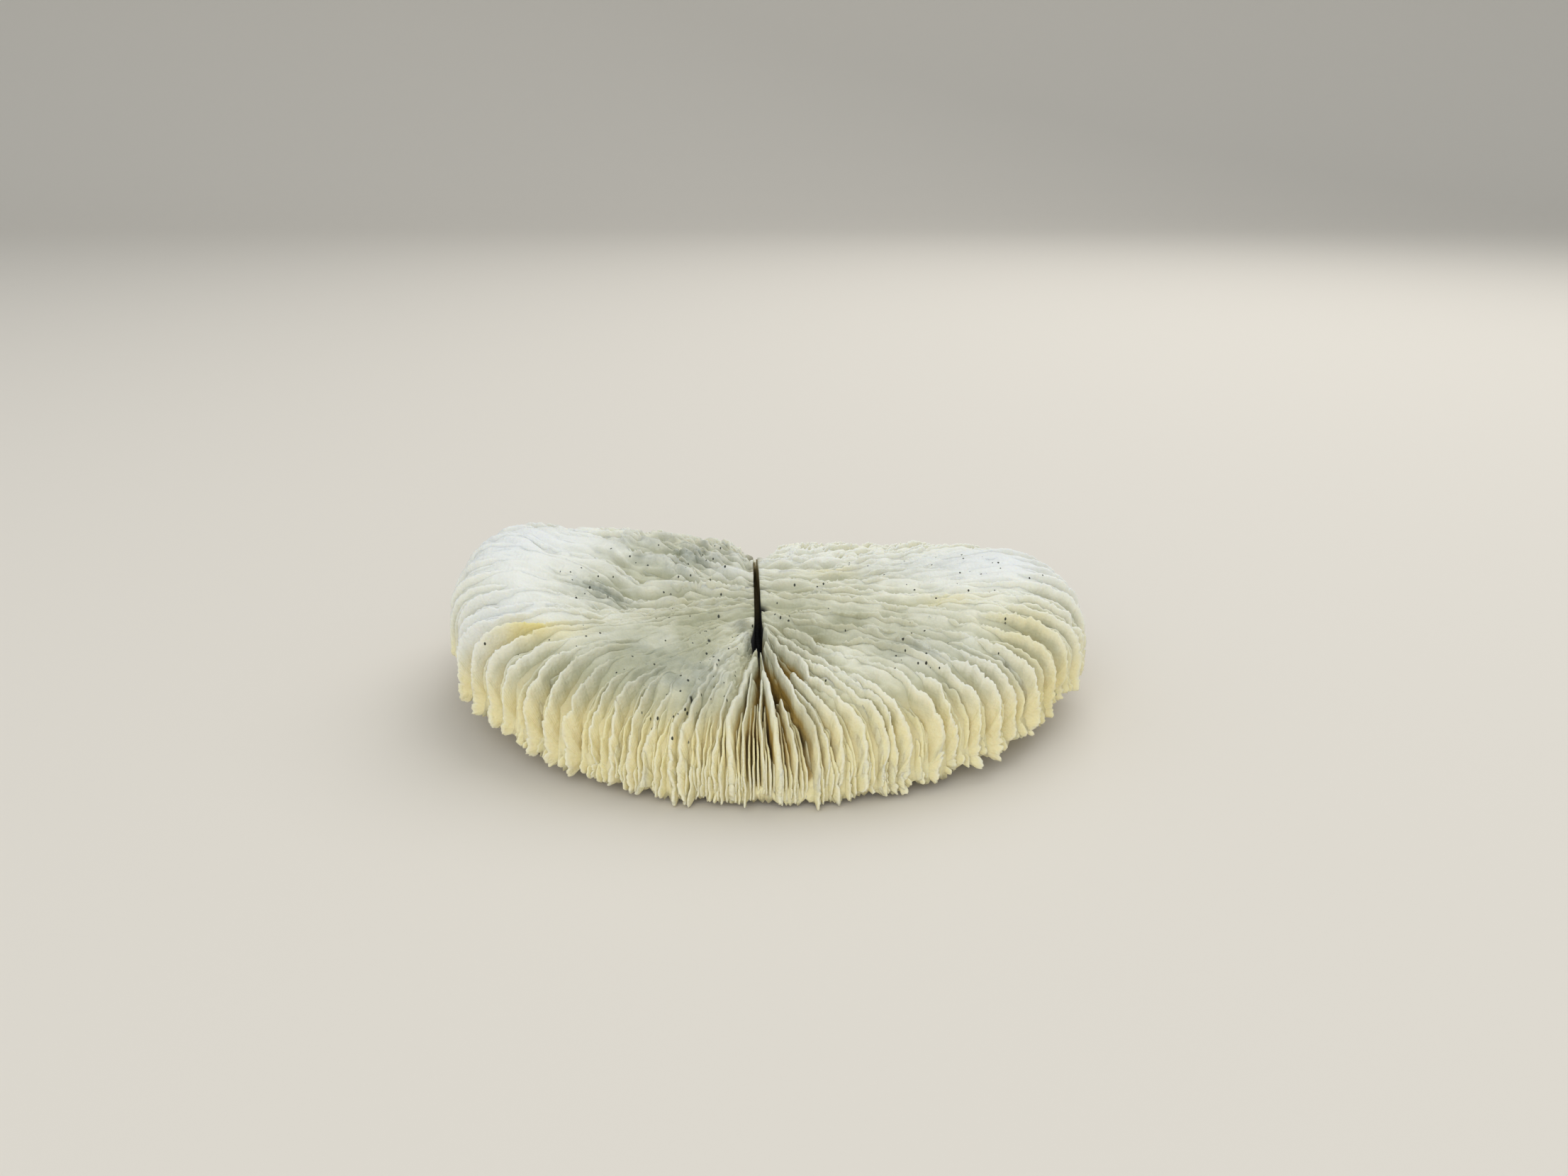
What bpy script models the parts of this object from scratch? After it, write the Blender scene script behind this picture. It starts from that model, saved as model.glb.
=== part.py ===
"""Skeleton of a solitary mushroom coral, grown as one piece of stony aragonite.

The body is an oval, wider than deep, with a low saddle on top: a high lobe on the left, a lower
one on the right. A narrow slit runs from front to back in the middle. Plates stand on the disc
like the pages of a fan, from the slit to the margin, and their outer edges make a steep, thick
rim. Below, the disc is hollow like a shallow bridge: it stands on its front and back margins,
and its left and right ends are off the table.

Units are metres, +Z is up, -Y is the side with the steep front rim. The origin is the middle of
the footprint, on the table.
"""
import math
import random

import bmesh
import bpy

MM = 0.001

# Outline in plan
HALF_WIDTH = 64.0 * MM
HALF_DEPTH = 49.4 * MM
CORNER_FRONT = 2.0
CORNER_BACK_LEFT = 2.6
CORNER_BACK_RIGHT = 2.15

# Run of the plates in plan: how much they bend between the slit and the rim, and the gentle
# waves that neighbours share, each given as height, waves along the plate, waves round the disc,
# phase
PLATE_BEND = 0.55
WANDER = 0.022
WAVES = (
    (1.0, 5.0, 3, 0.0),
    (0.6, 9.0, 7, 1.3),
)

# The slit in the middle of the top
SLIT_FRONT = (-1.2 * MM, -32.0 * MM)
SLIT_BACK = (-3.4 * MM, 28.0 * MM)
SLIT_HALF_WIDTH = 1.1 * MM
SLIT_FLOOR = 12.6 * MM
SLIT_LIP_DROP = 1.4 * MM
SLIT_LIP_SHARE = 0.08

# Height of the plate crests over the table: a level and the swellings and hollows on it,
# each given as x, y, height, reach along x, reach along y
CREST_LEVEL = 23.3 * MM
SWELLINGS = (
    (-54.0 * MM, 13.0 * MM, 6.6 * MM, 17.0 * MM, 26.0 * MM),
    (-28.0 * MM, 17.0 * MM, 3.6 * MM, 17.0 * MM, 17.0 * MM),
    (52.0 * MM, 7.0 * MM, 1.4 * MM, 18.0 * MM, 26.0 * MM),
    (16.0 * MM, 17.0 * MM, -0.8 * MM, 18.0 * MM, 18.0 * MM),
    (-30.0 * MM, -13.0 * MM, -1.6 * MM, 22.0 * MM, 12.0 * MM),
    (0.0 * MM, -49.0 * MM, -4.5 * MM, 60.0 * MM, 15.0 * MM),
    (0.0 * MM, 51.0 * MM, -7.0 * MM, 60.0 * MM, 20.0 * MM),
    (-2.0 * MM, 35.0 * MM, -3.5 * MM, 9.0 * MM, 18.0 * MM),
)

# Rim: how sharply the top rolls over, the height of its widest line and of its lower edge
ROLL_SIDE = 12.0
ROLL_FRONT_GAIN = 2.0
ROLL_BACK_LOSS = 5.0
WIDEST_AT_FRONT = 6.0 * MM
WIDEST_AT_ENDS = 15.5 * MM
END_LIFT = 8.0 * MM
END_LIFT_POWER = 2.6
RIM_TUCK_FRONT = 0.003
RIM_TUCK_ENDS = 0.025
RIM_TUCK_POWER = 1.6

# Hollow below the disc, and the margin that it leaves to stand on
ARCH_HEIGHT = 9.0 * MM
ARCH_POWER = 2.2
TIP_POWER = 12
FOOT_SHARE = 0.94
FOOT_WEAR = 1.5 * MM
COSTA_HEIGHT = 0.8 * MM

# Plates
RIDGES = 60
GROOVE_ON_TOP = 3.6 * MM
GROOVE_AT_SLIT = 1.2 * MM
GROOVE_AT_RIM = 3.0 * MM
GROOVE_RIM_POWER = 4
FULL_GROOVE_SHARE = 0.62
LESSER_PLATE = 0.72
PLACE_JITTER = 0.13
HEIGHT_JITTER = 0.16
TIP_JITTER = 1.6 * MM
SEED = 11

# Shares of the way from the slit over the top to the widest line, down the rim, and back in below
TOP_SPREAD = 0.77
TOP_STEPS = (0.0, 0.03, 0.08, 0.15, 0.24, 0.34, 0.44, 0.55, 0.66, 0.78, 0.89, 1.0)
RIM_STEPS = (0.5, 1.0)
UNDER_STEPS = (FOOT_SHARE, 0.84, 0.68, 0.48, 0.28, 0.12)
COLUMNS_PER_RIDGE = 3
WELD = 0.0001 * MM

SHARP_ANGLE = math.radians(28)
COLOUR = (0.78, 0.74, 0.61, 1.0)
ROUGHNESS = 0.78
METALLIC = 0.0


def clear_scene():
    for item in list(bpy.data.objects):
        bpy.data.objects.remove(item)


def mix(low, high, share):
    return low + (high - low) * share


def rim_point(angle):
    """Plan position of the widest line at this angle round the disc."""
    across, along = math.cos(angle), math.sin(angle)
    if along < 0:
        corner = CORNER_FRONT
    else:
        left = 0.5 - 0.5 * across
        corner = mix(CORNER_BACK_RIGHT, CORNER_BACK_LEFT, left)
        corner = mix(CORNER_FRONT, corner, min(1.0, along * 3.0))
    reach = abs(across / HALF_WIDTH) ** corner + abs(along / HALF_DEPTH) ** corner
    reach = reach ** (-1.0 / corner)
    return reach * across, reach * along


def plan_point(angle, share):
    """Plan position on a plate that leaves the slit square to it and bends towards the rim."""
    along = 0.5 + 0.5 * math.sin(angle)
    root_x = mix(SLIT_FRONT[0], SLIT_BACK[0], along) + SLIT_HALF_WIDTH * math.cos(angle)
    root_y = mix(SLIT_FRONT[1], SLIT_BACK[1], along)
    end_x, end_y = rim_point(angle)
    bend = PLATE_BEND * (share * share - share)
    x = mix(root_x, end_x, share)
    y = mix(root_y, end_y, share) + (end_y - root_y) * bend
    return x, y


def crest_height(x, y):
    height = CREST_LEVEL
    for centre_x, centre_y, rise, reach_x, reach_y in SWELLINGS:
        away = ((x - centre_x) / reach_x) ** 2 + ((y - centre_y) / reach_y) ** 2
        height += rise * math.exp(-away)
    return height


def roll_power(angle):
    facing = math.sin(angle)
    return ROLL_SIDE + ROLL_FRONT_GAIN * max(0.0, -facing) - ROLL_BACK_LOSS * max(0.0, facing)


def widest_height(angle):
    return mix(WIDEST_AT_FRONT, WIDEST_AT_ENDS, math.cos(angle) ** 2)


def lower_edge(angle):
    return END_LIFT * abs(math.cos(angle)) ** END_LIFT_POWER


def wandered(angle, share):
    """The angle with the gentle waves that neighbouring plates share."""
    wave = 0.0
    for height, along, around, phase in WAVES:
        wave += height * math.sin(along * share + around * angle + phase)
    return angle + WANDER * wave * share * (1.0 - 0.5 * share)


def drawn_in(point, share, sunk):
    """A groove cuts deeper into the margin than into the middle."""
    reach = math.hypot(*point)
    if reach < MM:
        return point
    scale = 1.0 - GROOVE_AT_RIM * sunk * share ** GROOVE_RIM_POWER / reach
    return point[0] * scale, point[1] * scale


class Column:
    """One line of points from the slit over the rim to the middle of the underside."""

    def __init__(self, angle, sunk, tip):
        self.angle = angle
        self.sunk = sunk
        self.tip = tip

    def floor_of_slit(self):
        x, y = plan_point(self.angle, 0.0)
        return x, y, SLIT_FLOOR

    def top(self, step):
        share = math.sin(step * math.pi / 2) ** TOP_SPREAD
        angle = wandered(self.angle, share)
        x, y = plan_point(angle, share)
        groove = mix(GROOVE_AT_SLIT, GROOVE_ON_TOP, min(1.0, share / FULL_GROOVE_SHARE)) * self.sunk
        lip = SLIT_LIP_DROP * max(0.0, 1.0 - share / SLIT_LIP_SHARE)
        crest = crest_height(x, y) - groove - lip
        roll = math.sqrt(max(0.0, 1.0 - share ** roll_power(angle)))
        widest = widest_height(angle)
        x, y = drawn_in((x, y), share, self.sunk)
        return x, y, mix(widest, crest, roll)

    def foot(self, angle):
        """Lower edge of the rim, worn flat where it meets the table."""
        return max(0.0, lower_edge(angle) + self.tip - FOOT_WEAR)

    def rim(self, step):
        angle = wandered(self.angle, 1.0)
        x, y = drawn_in(rim_point(angle), 1.0, self.sunk)
        tuck = mix(RIM_TUCK_FRONT, RIM_TUCK_ENDS, math.cos(angle) ** 2) * step ** RIM_TUCK_POWER
        low = self.foot(angle)
        return x * (1.0 - tuck), y * (1.0 - tuck), mix(widest_height(angle), low, step)

    def underside(self, share):
        angle = wandered(self.angle, 1.0)
        x, y = drawn_in(plan_point(angle, share), share, self.sunk)
        inward = share / FOOT_SHARE
        low = mix(lower_edge(angle), self.foot(angle), inward ** TIP_POWER)
        hollow = 1.0 - inward ** ARCH_POWER
        costa = COSTA_HEIGHT * (1.0 - self.sunk) * share * share
        return x, y, max(0.0, mix(low, ARCH_HEIGHT, hollow) - costa)

    def points(self):
        found = [self.floor_of_slit()]
        found += [self.top(step) for step in TOP_STEPS]
        found += [self.rim(step) for step in RIM_STEPS]
        found += [self.underside(share) for share in UNDER_STEPS]
        return found


def make_columns():
    """A crest and two groove lines for each plate, with plates of two sizes in turn."""
    chance = random.Random(SEED)
    pitch = 2 * math.pi / RIDGES
    places = [(i + chance.uniform(-PLACE_JITTER, PLACE_JITTER)) * pitch for i in range(RIDGES)]
    places.append(places[0] + 2 * math.pi)
    columns = []
    for i in range(RIDGES):
        size = 1.0 if i % 2 == 0 else LESSER_PLATE
        size -= chance.uniform(0.0, HEIGHT_JITTER)
        tip = chance.uniform(0.0, TIP_JITTER)
        columns.append(Column(places[i], 1.0 - size, tip))
        for k in range(1, COLUMNS_PER_RIDGE):
            angle = mix(places[i], places[i + 1], k / COLUMNS_PER_RIDGE)
            columns.append(Column(angle, 1.0, tip))
    return columns


def make_skeleton_mesh():
    """A grid is wrapped round the disc: its columns are plates and grooves, its rows are rings."""
    lines = [column.points() for column in make_columns()]
    rings = len(lines[0])
    shape = bmesh.new()
    bmesh.ops.create_grid(shape, x_segments=len(lines), y_segments=rings - 1, size=0.5)
    for corner in shape.verts:
        line = round((corner.co.x + 0.5) * len(lines)) % len(lines)
        ring = round((corner.co.y + 0.5) * (rings - 1))
        corner.co = lines[line][ring]
    bmesh.ops.remove_doubles(shape, verts=shape.verts, dist=WELD)
    bmesh.ops.holes_fill(shape, edges=[edge for edge in shape.edges if edge.is_boundary])
    bmesh.ops.triangulate(shape, faces=[face for face in shape.faces if len(face.verts) > 4])
    bmesh.ops.recalc_face_normals(shape, faces=shape.faces)
    if shape.calc_volume(signed=True) < 0:
        bmesh.ops.reverse_faces(shape, faces=shape.faces)
    centre_on_footprint(shape)
    mesh = bpy.data.meshes.new("coral_skeleton")
    shape.to_mesh(mesh)
    shape.free()
    return mesh


def centre_on_footprint(shape):
    xs = [corner.co.x for corner in shape.verts]
    ys = [corner.co.y for corner in shape.verts]
    zs = [corner.co.z for corner in shape.verts]
    middle = (-(min(xs) + max(xs)) / 2, -(min(ys) + max(ys)) / 2, -min(zs))
    bmesh.ops.translate(shape, vec=middle, verts=shape.verts)


def make_material():
    """Dry, bleached aragonite: warm cream and matt."""
    material = bpy.data.materials.new("bleached_aragonite")
    material.use_nodes = True
    shader = material.node_tree.nodes["Principled BSDF"]
    shader.inputs["Base Color"].default_value = COLOUR
    shader.inputs["Roughness"].default_value = ROUGHNESS
    shader.inputs["Metallic"].default_value = METALLIC
    return material


def main():
    clear_scene()
    mesh = make_skeleton_mesh()
    mesh.materials.append(make_material())
    mesh.shade_smooth()
    mesh.set_sharp_from_angle(angle=SHARP_ANGLE)
    skeleton = bpy.data.objects.new("coral_skeleton", mesh)
    bpy.context.collection.objects.link(skeleton)


main()
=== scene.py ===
"""Looks of a dry mushroom coral skeleton lying on a pale table.

The skeleton is one stony growth, modelled as it grew: an arched body with a slit through its
middle and a ribbed hollow below, and plates (septa) of five orders that stand on it from the slit
to the rim. The body fills the gaps between the plates. Each plate has a toothed crest, wavy flanks
and an outer edge that makes a part of the steep rim. All pieces stand for the frame's one solid.

Three measures place a point. The angle goes round the disc, from 0 at +X over a quarter turn at
the back. The share of the way out is 0 at the slit and 1 at the widest line. The step is the same
at both, and goes on to 2 at the rim's lower edge.
"""
from __future__ import annotations

import sys
import logging
import math
from dataclasses import dataclass, field
from enum import Enum
from typing import Any

import bmesh
import bpy
import numpy as np
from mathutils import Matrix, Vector


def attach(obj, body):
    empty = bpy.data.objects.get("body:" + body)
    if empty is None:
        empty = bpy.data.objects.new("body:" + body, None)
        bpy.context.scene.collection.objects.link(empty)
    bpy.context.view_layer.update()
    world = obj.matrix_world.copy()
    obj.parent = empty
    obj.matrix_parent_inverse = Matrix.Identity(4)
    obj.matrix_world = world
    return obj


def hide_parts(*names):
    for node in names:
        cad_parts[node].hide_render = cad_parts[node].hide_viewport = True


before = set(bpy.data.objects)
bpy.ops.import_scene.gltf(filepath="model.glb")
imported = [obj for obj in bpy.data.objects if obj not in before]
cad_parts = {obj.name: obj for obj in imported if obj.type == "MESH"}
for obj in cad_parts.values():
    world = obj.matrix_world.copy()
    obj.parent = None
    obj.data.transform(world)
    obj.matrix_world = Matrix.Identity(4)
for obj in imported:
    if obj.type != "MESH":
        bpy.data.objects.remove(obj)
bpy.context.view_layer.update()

LOG = logging.getLogger("coral")
MM = 0.001
TAU = 2.0 * math.pi
FRONT, BACK = 1.5 * math.pi, 0.5 * math.pi
NODE = "coral_skeleton"
ATTRIBUTES = ("depth", "along")
PHOTO_WIDTH = 2212
SPREAD = 0.77

Array = np.ndarray
Values = np.ndarray | float
Tree = bpy.types.NodeTree
Socket = bpy.types.NodeSocket
Shape = bmesh.types.BMesh
Material = bpy.types.Material
Rows = tuple[tuple[float, ...], ...]
Vector3 = tuple[float, float, float]


def mix(low: Values, high: Values, share: Values) -> Values:
    """Return the value at a share of the way from low to high."""
    return low + (high - low) * share


def smooth(low: float, high: float, value: Values) -> Values:
    """Return values eased from 0 at low to 1 at high, which may be the lesser."""
    share = np.clip((value - low) / (high - low), 0.0, 1.0)
    return share * share * (3.0 - 2.0 * share)


def bell(value: Values, middle: float, reach: float) -> Values:
    """Return 1 in the middle, falling softly towards 0 beyond the reach."""
    return np.exp(-(((value - middle) / reach) ** 2))


def scallops(along: Array, pitch: float, warp: Array) -> Array:
    """Return a row of round bumps of 0 to 1, with sharp notches between them."""
    return np.abs(np.sin(math.pi * along / pitch + warp))


def apart(angle: float, middle: float) -> float:
    """Return how far an angle is from another, from minus to plus half a turn."""
    return (angle - middle + math.pi) % TAU - math.pi


def degrees(angle: Array) -> Array:
    """Return angles in degrees, from 0 to 360."""
    return np.mod(np.degrees(angle), 360.0)


def share_of(step: Array) -> Array:
    """Return the share of the way out at each step; steps are closest where the top rolls over."""
    return np.sin(np.clip(step, 0.0, 1.0) * math.pi / 2) ** SPREAD


def step_of(share: Values) -> Values:
    """Return the step at each share of the way out."""
    return (2.0 / math.pi) * np.arcsin(share ** (1.0 / SPREAD))


@dataclass(frozen=True)
class Patch:
    """A soft-edged oval patch on the disc: a rise, a hollow or a zone, in metres."""

    x: float
    y: float
    amount: float
    reach_x: float
    reach_y: float

    def at(self, x: Array, y: Array) -> Array:
        """Return its amount at plan positions."""
        away = ((x - self.x) / self.reach_x) ** 2 + ((y - self.y) / self.reach_y) ** 2
        return self.amount * np.exp(-away)


def patches(*rows: tuple[float, ...], unit: float = 1.0) -> tuple[Patch, ...]:
    """Make patches from rows of numbers.

    Args:
        *rows: The x, y, amount, reach in x and reach in y of each patch, in millimetres.
        unit: Unit of the amounts.

    Returns:
        The patches.
    """
    return tuple(Patch(x * MM, y * MM, amount * unit, wide * MM, deep * MM)
                 for x, y, amount, wide, deep in rows)


def total(zones: tuple[Patch, ...], x: Array, y: Array) -> Array:
    """Return the sum of patches at plan positions."""
    return sum(zone.at(x, y) for zone in zones)


@dataclass
class CoralForm:
    """The grown form that the body and all plates share, in metres.

    A course is an angle in degrees, where along the slit plates start there in millimetres, how
    much they bend, and how much they dip first. A nick, step or notch of the rim is its place, its
    size in millimetres and its reach: in millimetres of x for nicks, in degrees for the others. A
    wave is its strength, its turns along the share and round the disc, and its phase.
    """

    half_width: float = 63.2 * MM
    half_depth: float = 48.9 * MM
    corner_front: float = 2.0
    corner_back_left: float = 2.6
    corner_back_right: float = 2.15
    corner_change: float = 3.0
    wander: float = 0.02
    wander_left: float = 0.8
    wander_waves: Rows = ((1.0, 5.0, 3.0, 0.0), (0.6, 9.0, 7.0, 1.3))
    fold: float = 0.035
    fold_wave: tuple[float, float] = (22.0, 4.0)
    slit_front: tuple[float, float] = (-0.9 * MM, -33.5 * MM)
    slit_back: tuple[float, float] = (-3.4 * MM, 33.0 * MM)
    slit_half_width: float = 0.75 * MM
    slit_taper: float = 0.35
    slit_closing: float = 14.0
    hole_y: float = -27.2 * MM
    hole_gain: float = 1.6 * MM
    hole_reach: float = 5.5 * MM
    courses: Rows = (
        (-90, -31.2, 0.1, 0.6), (-80, -27.8, 0, 1.2), (-70, -24.5, 0, 1.1), (-58, -21, 0, 0.7),
        (-45, -17, 0.05, 0.3), (-27, -8, 0, 0), (-14, -3, 0, 0), (0, 1, 0, 0), (15, 5, 0.1, 0),
        (40, 13, 0.3, 0), (65, 23, 0.3, 0), (90, 33, 0.3, 0), (115, 21, 0.4, 0), (140, 8, 0.1, 0),
        (161, -2.5, 0, 0), (180, -7, 0.3, 0), (200, -11, 0.5, 0), (220, -15.5, 0.55, 0),
        (240, -21, 0.5, 0), (255, -27, 0.4, 0), (270, -31.2, 0.3, 0),
    )
    crest_level: float = 23.3 * MM
    swellings: tuple[Patch, ...] = patches(
        (-58, 13, 7, 17, 26), (-28, 17, 3.6, 17, 17), (56, 7, 2.3, 16, 26),
        (18, 24, -1.9, 18, 18), (-30, -13, -1.2, 22, 12), (-25, -5, -2.4, 9, 8),
        (-43, -3, 1.5, 9, 13), (-15, -30, -2.2, 11, 9), (0, -49, -4.5, 60, 15),
        (0, 51, -7, 60, 20), (-2.6, 38, -5.5, 4.5, 17), unit=MM,
    )
    calm_zones: tuple[Patch, ...] = patches(
        (-20, -24, 1, 17, 9.5), (-9, -36, 0.9, 9, 7), (-54, 6, 1.2, 17, 23), (47, 8, 1.1, 20, 16),
    )
    rough_zones: tuple[Patch, ...] = patches(
        (12, 22, 0.5, 22, 15), (-14, 2, 1.1, 13, 13), (-26, -12, 0.7, 14, 8),
        (16, -2, 0.5, 18, 9), (-20, 24, 0.7, 20, 13), (30, -24, 0.3, 20, 14),
    )
    gap_zones: tuple[Patch, ...] = patches((4.5, -33, 7, 5, 9), (2, -44, 8, 6.5, 7), unit=MM)
    gap_slit: float = 2.5 * MM
    gap_calm: float = 0.45 * MM
    gap_usual: float = 3.0 * MM
    gap_rim: float = 5.0 * MM
    gap_rim_calm: float = 0.7
    rim_nicks: Rows = (
        (-46.0, 1.6, 1.2), (-33.0, 1.0, 1.0), (-25.6, 2.6, 0.8), (-20.5, 2.3, 0.8),
        (-10.8, 1.6, 1.0), (0.0, 3.0, 1.9), (7.2, 1.2, 0.6), (16.9, 2.4, 1.3), (26.5, 2.0, 1.0),
        (35.0, 1.8, 1.2), (39.6, 1.4, 1.0),
    )
    rim_steps: Rows = (
        (193.0, 2.2, 2.5), (203.5, 0.8, 1.5), (211.0, 1.0, 1.4), (222.0, 0.9, 1.2),
        (231.0, 0.9, 1.0), (322.0, 0.9, 1.4), (338.0, 1.0, 3.0), (309.0, 0.7, 1.0),
    )
    roll_side: float = 12.0
    roll_left_gain: float = 8.0
    roll_loss: float = 5.0
    widest_at_front: float = 6.0 * MM
    widest_at_ends: float = 15.5 * MM
    end_lift: float = 7.6 * MM
    end_lift_power: float = 3.5
    end_notch: Vector3 = (185.0, 4.0, 6.5)
    edge_wave: float = 0.25 * MM
    tuck_front: float = -0.012
    tuck_ends: float = -0.005
    tuck_power: float = 1.6
    heel_start: float = 0.86
    heel: float = 1.6 * MM
    arch_height: float = 9.0 * MM
    arch_power: float = 2.2
    arch_edge: float = 1.5 * MM
    foot_share: float = 0.94
    base_thickness: float = 2.6 * MM
    fan_middle: float = FRONT + 0.06
    fan_reach: float = 0.2
    clear_middle: float = math.radians(282.0)
    clear_reach: float = 0.4
    clear_start: float = 0.3

    def rim_point(self, angle: Array) -> tuple[Array, Array]:
        """Find the widest line in plan.

        Args:
            angle: Angles round the disc.

        Returns:
            The x and y positions.
        """
        across, along = np.cos(angle), np.sin(angle)
        back = mix(self.corner_back_right, self.corner_back_left, 0.5 - 0.5 * across)
        corner = mix(self.corner_front, back, np.clip(along * self.corner_change, 0.0, 1.0))
        reach = np.abs(across / self.half_width) ** corner
        reach = (reach + np.abs(along / self.half_depth) ** corner) ** (-1.0 / corner)
        for place, size, width in self.rim_steps:
            reach = reach - size * MM * bell(degrees(angle), place, width)
        return reach * across, reach * along

    def plan_point(self, angle: Array, share: Array, inset: float = 0.0) -> tuple[Array, Array]:
        """Find the plan position on plates that leave the slit square to it.

        Args:
            angle: Angles round the disc.
            share: Shares of the way out.
            inset: How much further back than usual the plates leave the slit.

        Returns:
            The x and y positions.
        """
        turned = np.mod(np.degrees(angle) + 90.0, 360.0) - 90.0
        places, *kinds = np.array(self.courses).T
        start, bend, dip = (np.interp(turned, places, values) for values in kinds)
        root_y = start * MM + inset
        along = (root_y - self.slit_front[1]) / (self.slit_back[1] - self.slit_front[1])
        width = self.slit_half_width * (1.0 - self.slit_taper * along)
        width = width + self.hole_gain * bell(root_y, self.hole_y, self.hole_reach)
        side = np.sign(np.cos(angle)) * np.sqrt(1.0 - np.abs(np.sin(angle)) ** self.slit_closing)
        root_x = mix(self.slit_front[0], self.slit_back[0], along) + width * side
        end_x, end_y = self.rim_point(angle)
        turn = bend * (share * share - share) + dip * share * (1.0 - share) ** 2
        return mix(root_x, end_x, share), mix(root_y, end_y, share) + (end_y - root_y) * turn

    def wandered(self, angle: Array, share: Array) -> Array:
        """Add the gentle waves that neighbouring plates share, and the folds at the back left.

        Args:
            angle: Angles round the disc.
            share: Shares of the way out.

        Returns:
            The angles with their waves.
        """
        wave = sum(size * np.sin(out * share + turns * angle + phase)
                   for size, out, turns, phase in self.wander_waves)
        left = np.clip(-np.cos(angle), 0.0, 1.0)
        fold = self.fold * np.sin(self.fold_wave[0] * share + self.fold_wave[1] * angle) * left
        fold = fold * np.clip(np.sin(angle) + 0.4, 0.0, 1.0) * share * (1.0 - share) * 4.0
        calmer = share * (1.0 - 0.6 * share)
        return angle + self.wander * wave * calmer * (1.0 + self.wander_left * left) + fold

    def calm(self, x: Array, y: Array) -> Array:
        """Return how nearly the plates there grew together into a smooth surface, 0 to 1."""
        return np.clip(total(self.calm_zones, x, y), 0.0, 1.0)

    def rough(self, x: Array, y: Array) -> Array:
        """Return how lumpy the crests are there, 0 to 1."""
        return np.clip(total(self.rough_zones, x, y), 0.0, 1.0)

    def gap_depth(self, share: Array, x: Array, y: Array) -> Array:
        """Find how far below the crests the gaps between plates are filled.

        Args:
            share: Shares of the way out.
            x: Plan positions across.
            y: Plan positions from front to back.

        Returns:
            The depths.
        """
        calm = self.calm(x, y)
        depth = mix(self.gap_slit, self.gap_usual, smooth(0.05, 0.5, share))
        depth = mix(depth, self.gap_calm, calm)
        rim = self.gap_rim * (1.0 - self.gap_rim_calm * calm)
        return mix(depth, rim, smooth(0.74, 0.94, share)) + total(self.gap_zones, x, y)

    def fan(self, angle: float) -> float:
        """Return how much a plate belongs to the thin, open fan at the front, 0 to 1."""
        return math.exp(-((apart(angle, self.fan_middle) / self.fan_reach) ** 4))

    def roll_power(self, angle: Array) -> Array:
        """Return how sharply the top rolls over into the rim; the higher, the sharper."""
        gain = self.roll_left_gain * np.clip(-np.cos(angle), 0.0, 1.0) ** 4
        return self.roll_side + gain - self.roll_loss * np.abs(np.sin(angle))

    def widest_height(self, angle: Array) -> Array:
        """Return the height of the widest line over the table."""
        return mix(self.widest_at_front, self.widest_at_ends, np.cos(angle) ** 2)

    def lift(self, angle: Array) -> Array:
        """Return how far the rim is off the table, without its nicks and notch."""
        return self.end_lift * np.abs(np.cos(angle)) ** self.end_lift_power

    def lower_edge(self, angle: Array) -> Array:
        """Find the height of the rim's lower edge over the table.

        Args:
            angle: Angles round the disc.

        Returns:
            The heights, with the nicks in front and the notch at the left end.
        """
        x = self.rim_point(angle)[0] / MM
        front = smooth(0.0, 0.4, -np.sin(angle))
        place, rise, reach = self.end_notch
        height = self.lift(angle) + rise * MM * bell(degrees(angle), place, reach)
        for place, rise, reach in self.rim_nicks:
            height = height + front * rise * MM * bell(x, place, reach)
        uneven = 1.0 + np.sin(23.0 * angle + 0.7) * np.sin(9.0 * angle + 2.0)
        return height + self.edge_wave * uneven * (1.0 - 0.5 * front)

    def underside(self, angle: Array, share: Array) -> Array:
        """Return the height of the hollow below the body."""
        hollow = 1.0 - np.clip(share / self.foot_share, 0.0, 1.2) ** self.arch_power
        return mix(self.lift(angle) + self.arch_edge, self.arch_height, hollow)

    def crest_line(self, angle: float, step: Array, inset: float = 0.0, tip: float = 0.0) -> Array:
        """Find points along the crest of a plate of full height.

        Args:
            angle: Angle of the plate round the disc.
            step: Steps along the crest.
            inset: How much further back than usual the plate leaves the slit.
            tip: How far above the rim's lower edge the plate ends.

        Returns:
            One point for each step.
        """
        share = share_of(step)
        turned = self.wandered(np.full(step.shape, angle), share)
        x, y = self.plan_point(turned, share, inset)
        roll = np.sqrt(np.clip(1.0 - share ** self.roll_power(turned), 0.0, 1.0))
        widest = self.widest_height(turned)
        top = mix(widest, self.crest_level + total(self.swellings, x, y), roll)
        down = np.clip(step - 1.0, 0.0, 1.0)
        turn = np.clip((down - self.heel_start) / (1.0 - self.heel_start), 0.0, 1.0) * math.pi / 2
        tuck = mix(self.tuck_front, self.tuck_ends, np.cos(turned) ** 2) * down ** self.tuck_power
        tuck = 1.0 - tuck - self.heel * (1.0 - np.cos(turn)) / np.hypot(x, y)
        sunk = np.where(down > self.heel_start, mix(self.heel_start, 1.0, np.sin(turn)), down)
        z = np.where(step > 1.0, mix(widest, self.lower_edge(turned) + tip, sunk), top)
        return np.stack([x * tuck, y * tuck, z], axis=-1)

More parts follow.
